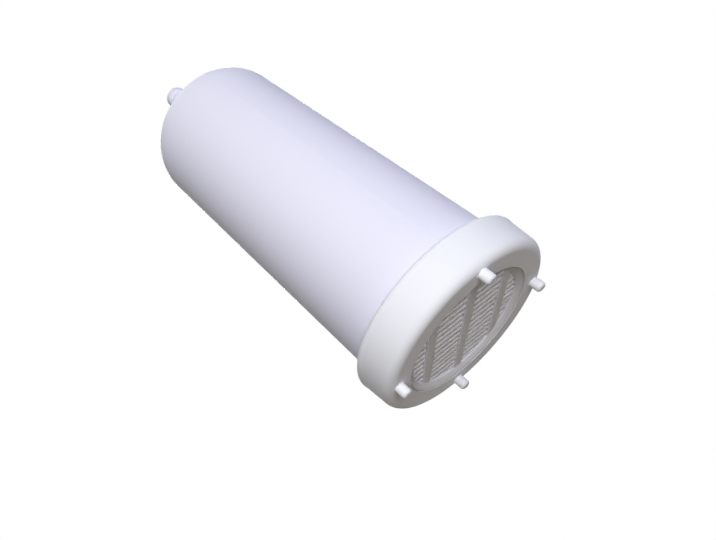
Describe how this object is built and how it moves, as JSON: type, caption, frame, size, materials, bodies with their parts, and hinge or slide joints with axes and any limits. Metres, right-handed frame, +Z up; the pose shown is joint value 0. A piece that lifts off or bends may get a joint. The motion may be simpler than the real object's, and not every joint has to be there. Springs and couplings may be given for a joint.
{
  "type": "coffee machine water filter cartridge",
  "caption": "White round tank filter cartridge with a rounded closed end, a central hose spigot, a wide foot-end cap, a slotted strainer disc and short feet.",
  "frame": {"origin": "on the cartridge axis, at the tips of the feet on which it stands", "axes": "+Z up along the axis from the feet to the hose spigot; the strainer ribs run along X"},
  "size_m": [0.0512, 0.0512, 0.1333],
  "materials": {
    "housing": "satin moulded",
    "cap": "satin moulded",
    "strainer": "matt moulded",
    "screen": "matt moulded",
    "fleece": "felted",
    "resin": "wet beads",
    "carbon": "dull grains"
  },
  "bodies": {
    "root": {"housing": "housing", "end_cap": "cap", "strainer": "strainer", "inlet_fleece": "fleece", "resin_bed": "resin", "divider_fleece": "fleece", "carbon_bed": "carbon", "outlet_fleece": "fleece", "outlet_screen": "screen"}
  },
  "joints": []
}
